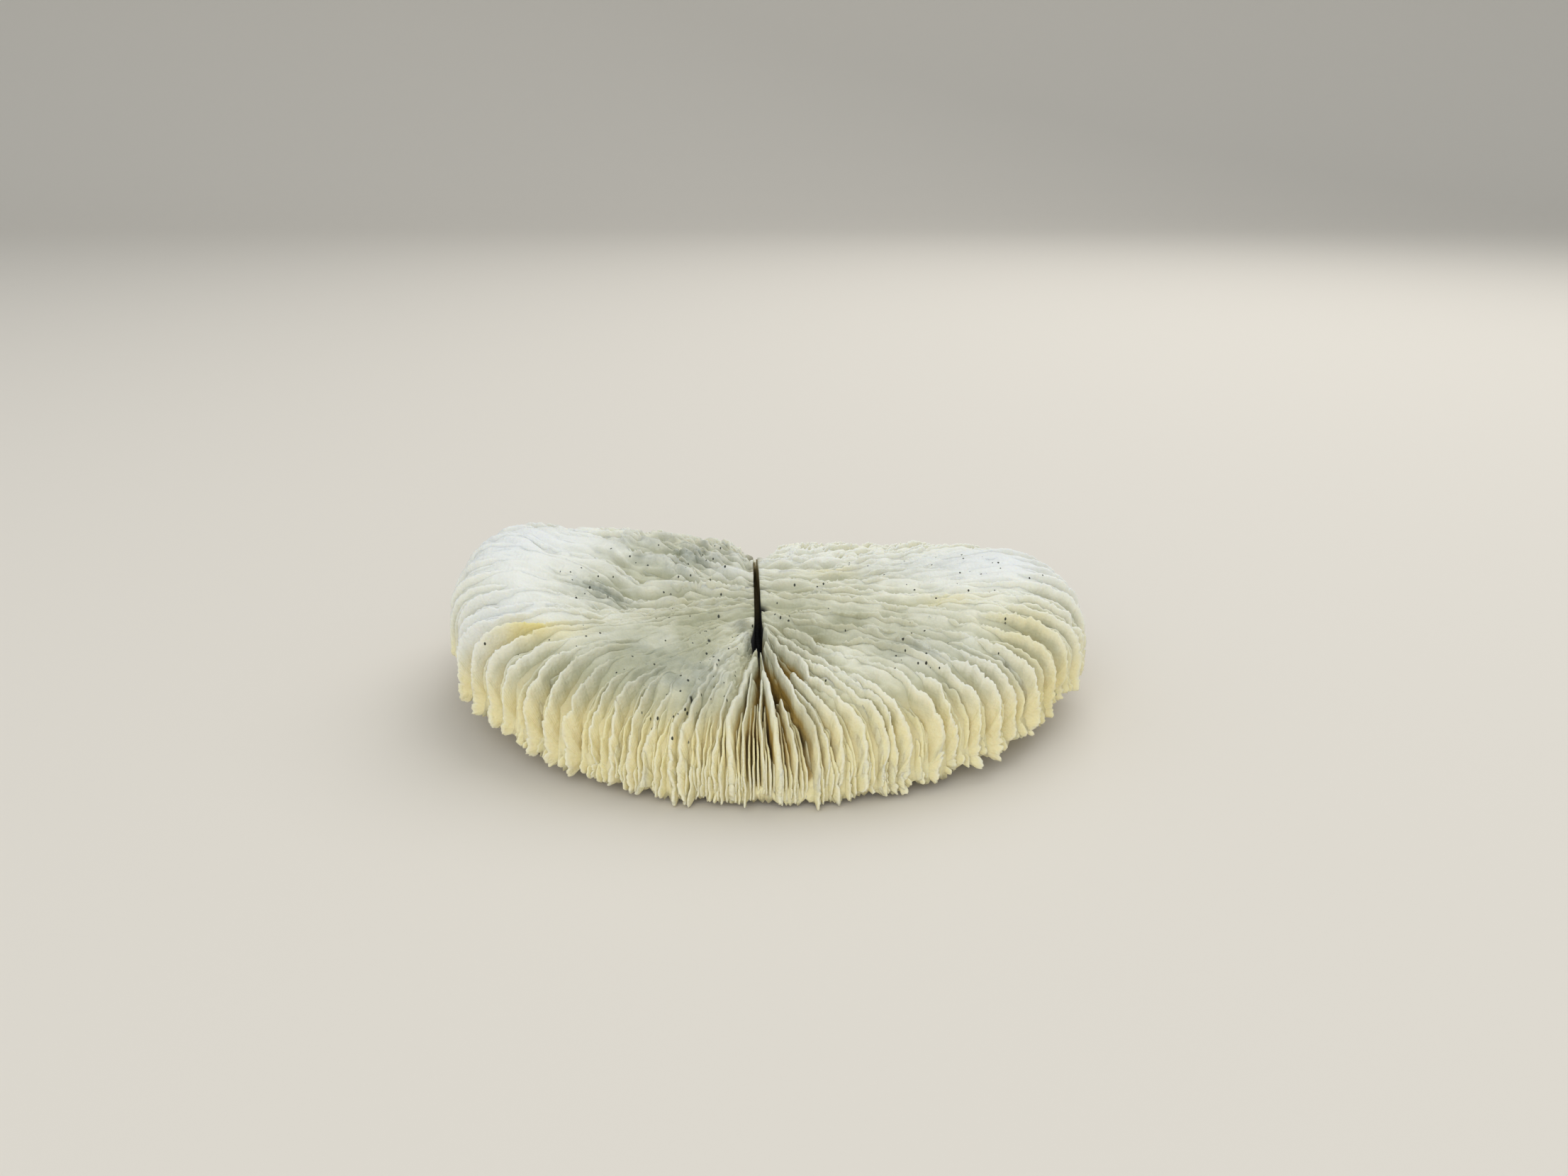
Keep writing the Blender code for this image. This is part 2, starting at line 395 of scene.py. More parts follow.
    def root_line(self, angle: float, step: Array, inset: float = 0.0, tip: float = 0.0) -> Array:
        """Find points along the root of a plate, buried in the body.

        Args:
            angle: As for the crest line.
            step: As for the crest line.
            inset: As for the crest line.
            tip: As for the crest line.

        Returns:
            One point for each step.
        """
        share = share_of(step)
        turned = self.wandered(np.full(step.shape, angle), share)
        inner = share * (self.foot_share - 0.01)
        x, y = self.plan_point(turned, inner, inset)
        down = np.clip(step - 1.0, 0.0, 1.0)
        deep = mix(self.base_thickness * 0.5, 0.2 * MM + 0.5 * tip, down)
        return np.stack([x, y, self.underside(turned, inner) + deep], axis=-1)


@dataclass(frozen=True)
class PlateStyle:
    """Sizes of one order of plates: shares of the way out, or metres.

    Each point of the flank has its greatest depth below the crest, in millimetres, and the
    greatest part of the plate's height that it may take.
    """

    start: tuple[float, float] = (0.0, 0.0)
    rise: tuple[float, float] = (0.0, 0.01)
    drop_inner: float = 0.0
    drop_rim: float = 0.0
    drop_foot: float = 0.0
    crest: float = 0.16 * MM
    flare: float = 0.42 * MM
    swell: float = 0.35 * MM
    spacing: float = 0.36 * MM
    lobe: float = 0.5 * MM
    wave: float = 0.8 * MM
    tip: float = 0.3 * MM
    flank: Rows = (
        (0.2, 0.06), (0.55, 0.14), (1.2, 0.3), (2.4, 0.5), (5.0, 0.75),
    )

    def full(self) -> bool:
        """Return whether plates of this order reach full height."""
        return self.drop_rim == 0.0


class PlateOrder(Enum):
    """The orders in which plates are laid down as a coral grows."""

    FIRST = PlateStyle()
    SECOND = PlateStyle((0.01, 0.04), (0.04, 0.34), 2.3 * MM, tip=0.4 * MM)
    THIRD = PlateStyle(
        (0.08, 0.16), (0.3, 0.56), 2.6 * MM, crest=0.12 * MM, flare=0.35 * MM, swell=0.3 * MM,
        spacing=0.38 * MM, lobe=0.45 * MM, wave=0.6 * MM, tip=0.7 * MM,
    )
    FOURTH = PlateStyle(
        (0.12, 0.3), drop_inner=2.8 * MM, drop_rim=2.0 * MM, drop_foot=0.1 * MM,
        crest=0.12 * MM, flare=0.25 * MM, swell=0.25 * MM, spacing=0.55 * MM, lobe=0.35 * MM,
        wave=0.4 * MM, tip=0.5 * MM, flank=((0.2, 0.06), (0.8, 0.2), (2.4, 0.55)),
    )
    FIFTH = PlateStyle(
        (0.3, 0.5), drop_inner=3.0 * MM, drop_rim=2.9 * MM, drop_foot=0.3 * MM,
        crest=0.1 * MM, flare=0.2 * MM, swell=0.2 * MM, spacing=0.65 * MM, lobe=0.3 * MM,
        wave=0.3 * MM, tip=0.8 * MM, flank=((0.2, 0.06), (0.8, 0.2), (2.4, 0.55)),
    )


class Sector(Enum):
    """Eighths of the disc, each made as one piece."""

    RIGHT = 0
    BACK_RIGHT = 1
    BACK = 2
    BACK_LEFT = 3
    LEFT = 4
    FRONT_LEFT = 5
    FRONT = 6
    FRONT_RIGHT = 7

    @staticmethod
    def of(angle: float) -> Sector:
        """Return the eighth that an angle lies in."""
        return Sector(int(((angle + math.pi / 8) % TAU) // (math.pi / 4)) % 8)


class Waves:
    """A smooth line of chance, made of a few sine waves."""

    def __init__(self, chance: np.random.Generator, *lengths: float) -> None:
        """Draw the lengths and phases.

        Args:
            chance: Seeded source of chance.
            *lengths: Wavelengths in millimetres, the strongest first.
        """
        self.lengths = [length * MM * chance.uniform(0.8, 1.25) for length in lengths]
        self.phases = chance.uniform(0.0, TAU, len(lengths))

    def at(self, along: Array) -> Array:
        """Return heights of about -1 to 1 along the line."""
        return sum(np.sin(TAU * along / length + phase) / (i + 1.0)
                   for i, (length, phase) in enumerate(zip(self.lengths, self.phases))) / 1.5


@dataclass
class Plate:
    """One plate (septum): where it stands and its own chance shape, in metres.

    The inset is how much further back than usual it leaves the slit, the start is added to the
    share of the way out where it begins, the lift raises its crest and the girth thickens it.
    """

    form: CoralForm
    order: PlateOrder
    angle: float
    seed: int
    inset: float = 0.0
    start: float = 0.0
    lift: float = 0.0
    girth: float = 1.0
    fine_steps: int = 900
    tooth_pitch: float = 0.85 * MM
    rag_pitch: float = 1.7 * MM
    lobe_pitch: tuple[float, float] = (2.4, 4.2)
    notches: int = 3
    highest: float = 0.4 * MM
    shortest: float = 0.5 * MM
    floor_gap: float = 0.05 * MM

    def line(self) -> tuple[Array, Array]:
        """Walk the crest at even spacing.

        Returns:
            The steps and the lengths along the crest.
        """
        style, form = self.order.value, self.form
        start = self.start + np.random.default_rng(self.seed).uniform(*style.start)
        if style.drop_inner > 0.0:
            away = apart(self.angle, form.clear_middle) / form.clear_reach
            start = start + form.clear_start * math.exp(-(away ** 4))
        fine = np.linspace(step_of(start), 2.0, self.fine_steps)
        points = form.crest_line(self.angle, fine, self.inset)
        lengths = np.linalg.norm(np.diff(points, axis=0), axis=1)
        walked = np.concatenate([[0.0], np.cumsum(lengths)])
        along = np.linspace(0.0, walked[-1], max(12, int(walked[-1] / style.spacing)))
        return np.interp(along, walked, fine), along

    def drop(self, crest: Array, share: Array) -> Array:
        """Find how far the crest stays below those of the tallest plates.

        Args:
            crest: Points of a crest of full height.
            share: Their shares of the way out.

        Returns:
            The depths.
        """
        style, form = self.order.value, self.form
        chance = np.random.default_rng(self.seed + 3)
        place = chance.uniform(*style.rise)
        if style.full():
            return mix(style.drop_inner, 0.0, smooth(place, place + 0.14, share))
        drop = mix(style.drop_inner, style.drop_rim, smooth(0.4, 1.0, share))
        drop = drop * chance.uniform(0.75, 1.15)
        facing = -math.sin(self.angle)
        away, front = 1.0 - smooth(0.8, 0.95, facing), smooth(0.75, 0.97, facing)
        drop = drop * (1.0 + 0.6 * away * smooth(0.7, 0.95, share))
        drop = drop * (1.0 + 0.35 * Waves(chance, 18.0, 7.0).at(share * 50.0 * MM))
        outer = smooth(0.5, 0.9, share)
        drop = drop * (1.0 - 0.45 * abs(math.cos(self.angle)) ** 6 * outer)
        drop = drop * (1.0 - 0.5 * form.calm(crest[:, 0], crest[:, 1]) * outer)
        drop = drop + 0.6 * MM * form.fan(self.angle)
        above = crest[:, 2] - form.lower_edge(np.array([self.angle]))[0]
        foot = smooth(mix(6.5, 13.0, front) * MM, mix(1.5, 5.0, front) * MM, above)
        return mix(drop, style.drop_foot + 0.7 * MM * away, foot * smooth(0.75, 0.95, share))

    def crest_relief(self, along: Array, share: Array, quiet: Array) -> Array:
        """Find how far the crest stands above or below its even line.

        Args:
            along: Lengths along the crest.
            share: Shares of the way out.
            quiet: How strong the lobes are there; 1 is usual.

        Returns:
            The heights, upwards positive.
        """
        style = self.order.value
        chance = np.random.default_rng(self.seed + 1)
        slow = Waves(chance, 34.0, 15.0, 7.0).at(along)
        warp = Waves(chance, 9.0, 4.1).at(along)
        vigour = 0.55 + 0.45 * Waves(chance, 13.0, 6.0).at(along)
        pitch = chance.uniform(*self.lobe_pitch) * MM
        lobes = scallops(along, pitch, 1.6 * warp) ** 0.7
        teeth = scallops(along, self.tooth_pitch, 1.7 * warp)
        ragged = scallops(along, self.rag_pitch, 2.3 * warp)
        relief = style.lobe * (1.1 * slow + 1.5 * vigour * (lobes - 1.0)) * quiet
        relief = relief + style.lobe * 0.55 * (teeth + ragged - 2.0) * (0.3 + 0.7 * quiet)
        for _ in range(self.notches):
            place = chance.uniform(0.15, 1.0) * along[-1]
            depth = chance.uniform(0.2, 1.0) * MM
            relief = relief - quiet * depth * bell(along, place, chance.uniform(0.5, 1.3) * MM)
        lip = 1.3 * MM * np.exp(-along / (0.7 * MM))
        corner = 0.25 * MM * np.exp(-(along[-1] - along) / (0.4 * MM))
        most = max(0.0, self.highest - self.lift) / MM
        uneven = float(np.clip(chance.normal(0.0, 0.5), -0.7, most)) * MM * smooth(0.82, 1.0, share)
        uneven = uneven * (1.0 - 0.7 * math.cos(self.angle) ** 4)
        return relief * mix(0.7, 1.0, share) + self.lift + uneven - lip - corner

    def across(self, share: Array) -> Array:
        """Find the level direction square to the plate.

        Args:
            share: Shares of the way out.

        Returns:
            One unit vector for each share.
        """
        turned = self.form.wandered(np.full(share.shape, self.angle), share)
        ahead = self.form.plan_point(turned, np.minimum(share + 0.01, 1.01), self.inset)
        behind = self.form.plan_point(turned, np.maximum(share - 0.01, 0.0), self.inset)
        run = np.stack([ahead[0] - behind[0], ahead[1] - behind[1]])
        run = run / np.linalg.norm(run, axis=0)
        return np.stack([-run[1], run[0], np.zeros(share.shape)], axis=-1)

    def section(self, tall: Array, calm: Array) -> tuple[Array, Array]:
        """Shape the plate's section, thin at the crest and thicker below.

        Args:
            tall: Heights of the plate.
            calm: How nearly it has grown together with its neighbours there, 0 to 1.

        Returns:
            Depths below the crest and half thicknesses, both by step and place down the flank.
        """
        style, fan = self.order.value, self.form.fan(self.angle)
        depths, parts = np.array(style.flank).T
        inner = np.minimum(depths * MM, tall[:, None] * parts)
        down = np.concatenate([np.zeros((len(tall), 1)), inner, tall[:, None]], axis=1)
        thin = 1.0 - 0.45 * fan
        flare = style.flare * thin + 0.25 * MM * (calm * (1.0 - fan))[:, None]
        swell = style.swell * thin * down / tall[:, None]
        half = style.crest + flare * down / (down + 1.5 * MM) + swell
        half[:, 0] = 0.0
        return down, half

    def points(self) -> tuple[Array, Array, Array]:
        """Work out the plate's surface as a grid that wraps round its section.

        Returns:
            Points by step along the plate and place round its section, and for each its depth
            below the crests and its distance from the slit.
        """
        style, form = self.order.value, self.form
        chance = np.random.default_rng(self.seed + 2)
        step, along = self.line()
        share, left = share_of(step), along[-1] - along
        tip = chance.uniform(0.0, style.tip)
        crest = form.crest_line(self.angle, step, self.inset, tip)
        root = form.root_line(self.angle, step, self.inset, tip)
        calm = form.calm(crest[:, 0], crest[:, 1])
        quiet = mix(1.0, 0.2, calm) * (1.0 + 1.4 * form.rough(crest[:, 0], crest[:, 1]))
        quiet = quiet * mix(0.3, 1.0, smooth(0.0, 1.0 * MM, left))
        drop = self.drop(crest, share)
        upright = crest - root
        tall = np.linalg.norm(upright, axis=1)
        upright = upright / tall[:, None]
        tall = np.maximum(tall + self.crest_relief(along, share, quiet) - drop, self.shortest)
        bow = Waves(chance, 21.0, 9.0, 4.0).at(along) * smooth(0.0, 6.0 * MM, along)
        bow = bow * style.wave * (1.0 - 0.6 * form.fan(self.angle))
        ends = np.sqrt(smooth(0.0, 1.6 * MM, along) * smooth(-0.1 * MM, 0.25 * MM, left))
        down, half = self.section(tall, calm)
        half = half * (ends * self.girth)[:, None]
        below = np.concatenate([down[:, ::-1], down[:, 1:]], axis=1)
        reach = np.concatenate([half[:, ::-1], -half[:, 1:]], axis=1)
        rise = tall[:, None] - below
        sway = bow[:, None] * (rise / tall[:, None]) ** 1.5 + reach
        found = root[:, None] + upright[:, None] * rise[:, :, None]
        found = found + self.across(share)[:, None] * sway[:, :, None]
        found[:, :, 2] = np.maximum(found[:, :, 2], self.floor_gap)
        origin = form.crest_line(self.angle, np.array([0.0]), self.inset)[0]
        away = along + np.linalg.norm((crest[0] - origin)[:2])
        # The depth that the colour reads counts lower plates 0.6 of their drop deeper, so the coats
        # paint shade on them.
        shown = below + 0.6 * np.maximum(drop, 0.0)[:, None]
        return found, shown, np.repeat(away[:, None], below.shape[1], axis=1)


def linear(code: str) -> tuple[float, float, float, float]:
    """Turn an sRGB hex colour into the linear values that Blender's sockets take.

    Args:
        code: Colour as #RRGGBB.

    Returns:
        Linear red, green, blue and full alpha.
    """
    values = []
    for i in (1, 3, 5):
        value = int(code[i:i + 2], 16) / 255.0
        values.append(value / 12.92 if value <= 0.04045 else ((value + 0.055) / 1.055) ** 2.4)
    return values[0], values[1], values[2], 1.0


def node(tree: Tree, kind: str, inputs: dict | None = None, **settings: Any) -> bpy.types.Node:
    """Add a node with its settings, values and links.

    Args:
        tree: Node tree to add to.
        kind: Blender's type name of the node, after "ShaderNode".
        inputs: Value or output socket for each input, by name or number.
        **settings: Properties of the node.

    Returns:
        The new node.
    """
    made = tree.nodes.new("ShaderNode" + kind)
    for name, value in settings.items():
        setattr(made, name, value)
    for key, value in (inputs or {}).items():
        if isinstance(value, Socket):
            tree.links.new(value, made.inputs[key])
        else:
            made.inputs[key].default_value = value
    return made


@dataclass(frozen=True)
class Ramp:
    """One of the finish's values, eased from 0 at low to 1 at high, which may be the lesser."""

    of: str
    low: float
    high: float


Factor = str | float | Ramp | tuple[Patch, ...]


@dataclass(frozen=True)
class Coat:
    """A colour that covers what is below it, by its strength times all its factors."""

    name: str
    colour: str
    strength: float
    factors: tuple[Factor, ...]


# The ochre paints shade deep in the gaps and the brown paints shade in the slit. The bone white is
# the stone's own white and also the crests' painted highlight.
BONE, GAP_SHADE_OCHRE, SLIT_SHADE_BROWN = "#E2E3DE", "#A98C46", "#6E6036"
HIGH = Ramp("height", 11 * MM, 19 * MM)
ABOVE = Ramp("height", 9.5 * MM, 11.5 * MM)
# Where the fan's gaps get painted shade: above about 4 mm, by the front fan.
FAN_SHADE_ZONE = (Ramp("height", 4 * MM, 13 * MM), patches((3.5, -36, 1.5, 7.5, 12), (0, -48, 0.8, 9, 6)))


@dataclass(frozen=True)
class Finish:
    """Dry aragonite, bleached by the sun and stained where dirt and algae sat, with painted shade
    deep in its gaps, creases and slit and a painted highlight along its crests.

    A value is a factor's name, and in the sums its maths operation and what goes into it. The
    coats go on in order, and each one's cover is a value for the coats after it.
    """

    # The real thing is aragonite, a chalky stone that the living coral laid down grain by grain
    # and that sea and sun then bleached. It gives the eye a matt bone white that light soaks into
    # a little, creamier at the foot, with grey-green films where algae sat. The browns deep in the
    # gaps, the black of the slit and the white along the crests are painted shade and highlight.
    name: str = "aragonite_coral_skeleton_bleached"
    roughness: float = 0.7
    ior: float = 1.53
    scatter: float = 0.3
    scatter_colours: Vector3 = (1.0, 0.8, 0.5)
    scatter_depth: float = 1.2 * MM
    straw: str = "#EAE0B2"
    # Painted shadow in the slit: near black at the front, turning brown towards the back.
    slit_front: str = "#050403"
    slit_shadow_turn: Ramp = Ramp("y", 0.0, 15 * MM)
    cell: float = 1.3 * MM
    cell_stretch: Vector3 = (1.0, 1.0, 0.6)
    # The stone's own grain is near 0.1 mm. That is too fine for the picture, so it is drawn at
    # 0.6 mm, and the growth lines across the flanks at 0.7 mm.
    noises: tuple[tuple[str, float, float], ...] = (
        ("cloud", 10 * MM, 4), ("mottle", 3 * MM, 3), ("grain", 0.6 * MM, 3),
        ("lumps", 2.2 * MM, 2),
    )
    sums: tuple[tuple, ...] = (
        ("lifted", "MULTIPLY_ADD", "y", 0.1, "height"),
        ("patchy", "MULTIPLY_ADD", "cloud", 2.6, -0.35),
        ("line_turn", "MULTIPLY", "along", TAU / (0.7 * MM)),
        ("lines", "SINE", "line_turn"),
        ("fine", "MULTIPLY_ADD", "lines", 0.05, "grain"),
        ("relief", "MULTIPLY_ADD", "lumps", 1.8, "fine"),
        ("dot_size", "MULTIPLY_ADD", "green", 0.09, 0.1),
        ("past_dot", "SUBTRACT", "distance", "dot_size"),
        ("often", "MULTIPLY", patches(
            (-10.3, -24.3, 2, 3, 4), (-8.7, -35, 1.6, 3, 5), (-11.3, -39.5, 2.4, 3.6, 3.6),
            (-36.3, -2.9, 1.6, 4, 4), (10.6, -3.7, 1.6, 4, 2.5), (17.6, 12.3, 1.4, 5, 3),
            (0.5, -12.1, 1.4, 3, 5), (25.9, -31.3, 1, 6, 4), (37.8, -0.2, 1.4, 6, 3),
            (-17, -43.4, 0.5, 5, 3), (-26, -22, 0.3, 18, 16), (27, 6, 0.45, 22, 12),
            (-20, 10, 0.6, 12, 9), (22, -20, 0.3, 18, 9)), 1.25),
        ("chosen", "LESS_THAN", "red", "often"),
        ("dots", "MULTIPLY", Ramp("past_dot", 0.03, -0.03), "chosen"),
        ("shown_dots", "MULTIPLY", "dots", Ramp("depth", 2.6 * MM, 1.6 * MM)),
        ("specks", "MAXIMUM", "shown_dots", patches(
            (-12.3, -41.5, 1.5, 0.28, 0.25), (-10.2, -24.9, 1.5, 0.25, 0.3))),
    )
    coats: tuple[Coat, ...] = (
        Coat("cream", "#E8E5CF", 1.0, (Ramp("lifted", 8 * MM, 18 * MM),)),
        # Painted highlight: bone white along the crest edges, fading out by 1.2 mm below them.
        Coat("edge", BONE, 0.6, (Ramp("depth", 1.2 * MM, 0.0), "mottle")),
        Coat("film", "#B2B195", 1.0, (HIGH, "patchy", patches(
            (-18, -28, 0.95, 18, 17), (0, -12, 0.5, 24, 18), (20, -24, 0.55, 20, 13),
            (18, 8, 0.12, 22, 12)))),
        # Bone white on the high humps, whiter with height. This is partly the stone's own bleached
        # white and partly a painted highlight where the tops catch the most light.
        Coat("white", BONE, 1.0, (Ramp("height", 9 * MM, 21 * MM), patches(
            (-54, 10, 1, 17, 20), (50, 8, 1, 22, 15), (26, 20, 0.3, 20, 12), (7, 22, 0.4, 9, 12),
            (-8, 8, 0.5, 9, 9), (-36, 14, 0.3, 12, 12), (-50, -20, 0.9, 12, 10),
            (40, -31, 0.35, 12, 8)))),
        # Painted shade: patchy yellow on the shaded flanks in the pockets between plates.
        Coat("pocket_shade", "#DFD294", 1.0, ("patchy", patches(
            (-42.4, -24, 0.8, 8, 3.5), (47.8, -22, 0.4, 8, 6), (52, -24, 0.25, 8, 8),
            (32.4, -9.9, 0.5, 8, 2.2), (12.3, 10.6, 0.5, 5, 3)))),
        # Darker grey-green on the high parts. This is partly a real algae stain and partly painted
        # shade in the hollow beside the left hump.
        Coat("moss_and_hollow_shade", "#80877A", 1.0, (HIGH, Ramp("mottle", 0.1, 0.8), patches(
            (-20, 12, 1.1, 11, 10), (-33, -5, 1, 7, 5), (28, 9, 0.3, 15, 8), (-9, 24, 0.5, 9, 9),
            (26, -31, 0.5, 6, 3.5), (-12, -38, 0.6, 8, 7), (-20, -30, 0.4, 8, 7)))),
        # Painted shade: a greyer tone down the creases behind the crests on the high parts, weaker
        # where the tops are white.
        Coat("trough_shade", "#AFAF90", 0.7, (
            HIGH, Ramp("depth", 0.5 * MM, 2.6 * MM), Ramp("white", 1.0, 0.1))),
        # Painted shade: tan from 1.8 mm below the crests, and ochre from 4.5 mm down in the gaps.
        Coat("tan", "#CDBD88", 0.45, (Ramp("depth", 1.8 * MM, 5 * MM),)),
        Coat("deep", GAP_SHADE_OCHRE, 0.85, (Ramp("depth", 4.5 * MM, 9.5 * MM),)),
        # Painted shade in the fan's gaps: ochre from 1.4 mm down, and dark brown from 3.5 mm down.
        Coat("fan_gap_shade", GAP_SHADE_OCHRE, 1.0, (*FAN_SHADE_ZONE, Ramp("depth", 1.4 * MM, 4 * MM))),
        Coat("fan_deep_shade", "#6B5424", 1.0, (*FAN_SHADE_ZONE, Ramp("depth", 3.5 * MM, 6.5 * MM))),
        # Dark grey patches beside the slit's hole and near the front rim.
        Coat("grey_patch", "#5F6352", 1.0, (ABOVE, patches(
            (-2.8, -27, 0.8, 0.9, 4), (-4.6, -20.5, 0.6, 1.2, 1.6), (7.3, -46, 0.3, 2, 2.5)))),
        # Painted shadow on the slit's walls, close to the slit and more than about 1.2 mm down.
        Coat("slit", "slit_shadow_tone", 1.0, (
            Ramp("along", 2 * MM, 0.3 * MM), Ramp("depth", 1.2 * MM, 3 * MM))),
        # Painted shade: brown along the slit's back end.
        Coat("slit_end_shade", SLIT_SHADE_BROWN, 1.0, (ABOVE, patches(
            (-3.4, 33, 0.9, 2.2, 6), (-3, 25, 0.7, 1.5, 6)))),
        Coat("speck", "#33362A", 1.0, (ABOVE, "specks")),
    )

    def build(self) -> Material:
        """Make the material.

        Returns:
            The material.
        """
        material = bpy.data.materials.new(self.name)
        material.use_nodes = True
        tree = material.node_tree
        made = self.sources(tree)
        for name, operation, *parts in self.sums:
            inputs = {i: self.value(tree, made, part) for i, part in enumerate(parts)}
            made[name] = node(tree, "Math", inputs, operation=operation).outputs[0]
        # The slit's painted shadow tone: near black in the front half, and brown from 15 mm behind
        # the middle.
        made["slit_shadow_tone"] = node(tree, "Mix", {
            0: self.value(tree, made, self.slit_shadow_turn), 6: linear(self.slit_front), 7: linear(SLIT_SHADE_BROWN),
        }, data_type="RGBA").outputs[2]
        colour: Any = linear(self.straw)
        for coat in self.coats:
            share: Any = coat.strength
            for factor in coat.factors:
                inputs = {0: share, 1: self.value(tree, made, factor)}
                share = node(tree, "Math", inputs, operation="MULTIPLY").outputs[0]
            made[coat.name] = share
            tone = made[coat.colour] if coat.colour in made else linear(coat.colour)
            inputs = {0: share, 6: colour, 7: tone}
            colour = node(tree, "Mix", inputs, data_type="RGBA").outputs[2]
        bump = {"Strength": 0.8, "Distance": 0.22 * MM, "Height": made["relief"]}
        shader = tree.nodes["Principled BSDF"]
        tree.links.new(colour, shader.inputs["Base Color"])
        tree.links.new(node(tree, "Bump", bump).outputs[0], shader.inputs["Normal"])
        shader.inputs["Roughness"].default_value = self.roughness
        shader.inputs["IOR"].default_value = self.ior
        shader.inputs["Subsurface Weight"].default_value = self.scatter
        shader.inputs["Subsurface Radius"].default_value = self.scatter_colours
        shader.inputs["Subsurface Scale"].default_value = self.scatter_depth
        return material

    def sources(self, tree: Tree) -> dict[Any, Socket]:
        """Add what the material reads from the mesh, the place, the noises and the specks' cells.

        Args:
            tree: Node tree to add to.

        Returns:
            The values by name.
        """
        place = node(tree, "TexCoord").outputs["Object"]
        split = node(tree, "SeparateXYZ", {"Vector": place})
        made = {"place": place, "y": split.outputs["Y"], "height": split.outputs["Z"]}
        for name in ATTRIBUTES:
            read = node(tree, "Attribute", attribute_name=name)
            made[name] = read.outputs["Fac"]
        for name, pitch, detail in self.noises:
            inputs = {"Vector": place, "Scale": 1 / pitch, "Detail": detail}
            made[name] = node(tree, "TexNoise", inputs).outputs[0]
        flat = node(tree, "VectorMath", {0: place, 1: self.cell_stretch},
                    operation="MULTIPLY").outputs[0]
        cells = node(tree, "TexVoronoi", {"Vector": flat, "Scale": 1 / self.cell})
        pick = node(tree, "SeparateColor", {"Color": cells.outputs["Color"]})
        made["distance"] = cells.outputs["Distance"]
        return made | {"red": pick.outputs["Red"], "green": pick.outputs["Green"]}

    def value(self, tree: Tree, made: dict[Any, Socket], factor: Factor) -> Socket | float:
        """Find a factor, or make it when it is first wanted.

        Args:
            tree: Node tree to add to.
            made: The values so far, to which a new one is added.
            factor: A number, a value's name, a ramp or patches that are summed.

        Returns:
            The number, or the socket that gives the factor.
        """
        if factor in made or isinstance(factor, (int, float)):
            return made.get(factor, factor)
        if isinstance(factor, Ramp):
            low, high = factor.low, factor.high
            inputs = {
                "Value": made[factor.of], "From Min": min(low, high), "From Max": max(low, high),
                "To Min": float(low > high), "To Max": float(low < high),
            }
            eased = node(tree, "MapRange", inputs, interpolation_type="SMOOTHSTEP")
            made[factor] = eased.outputs[0]
            return made[factor]
        amount: Any = 0.0
        for item in factor:
            scale = (1 / item.reach_x, 1 / item.reach_y, 0.0)
            shift = (-item.x / item.reach_x, -item.y / item.reach_y, 0.0)
            near = node(tree, "VectorMath", {0: made["place"], 1: scale, 2: shift},
                        operation="MULTIPLY_ADD").outputs[0]
            away = node(tree, "VectorMath", {0: near, 1: near},
                        operation="DOT_PRODUCT").outputs["Value"]
            soft = node(tree, "Math", {0: 1 / math.e, 1: away}, operation="POWER")
            amount = node(tree, "Math", {0: soft.outputs[0], 1: item.amount, 2: amount},
                          operation="MULTIPLY_ADD").outputs[0]
        made[factor] = amount
        return amount


def new_shape() -> Shape:
    """Return an empty shape with layers for what the material reads."""
    shape = bmesh.new()
    for name in ATTRIBUTES:
        shape.verts.layers.float.new(name)
    return shape


def wrap(shape: Shape, points: Array, depth: Array, along: Array) -> None:
    """Add a grid whose last column closes on its first, and close its ends.

    Args:
        shape: Shape to add to.
        points: Points by row and column.
        depth: Their depths below the crests.
        along: Their distances from the slit.
    """
    rows, columns = depth.shape
    layers = [shape.verts.layers.float[name] for name in ATTRIBUTES]
    made = bmesh.ops.create_grid(shape, x_segments=columns, y_segments=rows - 1, size=0.5)["verts"]
    for corner in made:
        row = round((corner.co.y + 0.5) * (rows - 1))
        column = round((corner.co.x + 0.5) * columns) % columns
        corner.co = points[row, column]
        for layer, values in zip(layers, (depth, along)):
            corner[layer] = values[row, column]
    bmesh.ops.remove_doubles(shape, verts=made, dist=0.0005 * MM)


def stand(shape: Shape, name: str, material: Material) -> bpy.types.Object:
    """Turn a shape into a smooth object in the scene.

    Args:
        shape: The shape, which is freed.
        name: Name of the object.
        material: Its material.

    Returns:
        The object.
    """
    mesh = bpy.data.meshes.new(name)
    shape.to_mesh(mesh)
    shape.free()
    mesh.materials.append(material)
    mesh.shade_smooth()
    made = bpy.data.objects.new(name, mesh)
    bpy.context.scene.collection.objects.link(made)
    return made


def finish_piece(shape: Shape, name: str, material: Material) -> None:
    """Turn a finished shape into a piece that stands for the solid.

    Args:
        shape: The shape, which is freed.
        name: Name of the piece.
        material: Its material.
    """
    bmesh.ops.recalc_face_normals(shape, faces=shape.faces)
    triangles = sum(len(face.verts) - 2 for face in shape.faces)
    piece = stand(shape, name, material)
    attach(piece, "root")
    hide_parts(NODE)
    LOG.info("%s: %d triangles", name, triangles)


